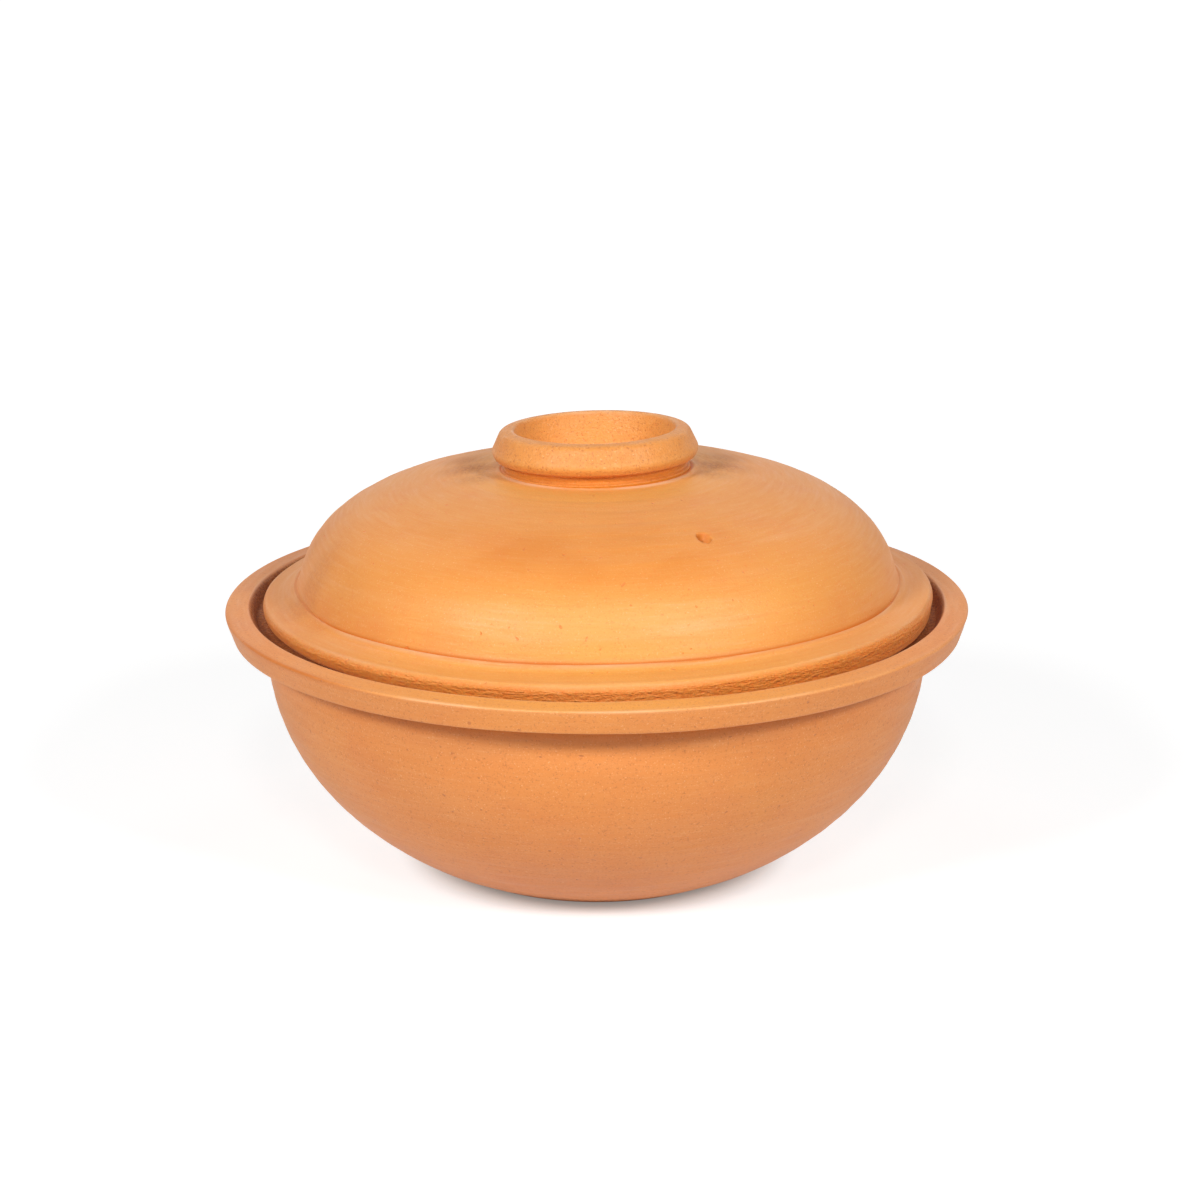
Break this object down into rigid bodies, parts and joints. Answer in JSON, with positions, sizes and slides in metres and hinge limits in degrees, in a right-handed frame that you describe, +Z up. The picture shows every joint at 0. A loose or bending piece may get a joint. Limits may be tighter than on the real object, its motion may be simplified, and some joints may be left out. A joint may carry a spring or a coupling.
{
  "type": "lidded clay cooking pot",
  "caption": "Unglazed terracotta cooking pot: round bowl with a flared, ledged rim and a domed lid with steam vent and ring handle.",
  "frame": {"origin": "on the pot's axis, in the plane that its foot stands on", "axes": "+Z up along the axis; the steam vent faces between +X and -Y, the side that the picture shows"},
  "size_m": [0.2498, 0.2498, 0.1503],
  "materials": {
    "bowl_clay": "matte unglazed terracotta, burnished in fine horizontal lines",
    "lid_clay": "matte unglazed terracotta, burnished, with a sandy flange edge",
    "handle_clay": "matte unglazed terracotta, finely speckled"
  },
  "bodies": {
    "pot": {"pot_bowl": "bowl_clay"},
    "lid": {"lid_dome": "lid_clay", "lid_ring_handle": "handle_clay"}
  },
  "joints": [
    {"name": "lid_lift", "type": "slide", "parent": "pot", "child": "lid", "axis": [0, 0, 1], "range_m": [0, 0.15]}
  ]
}
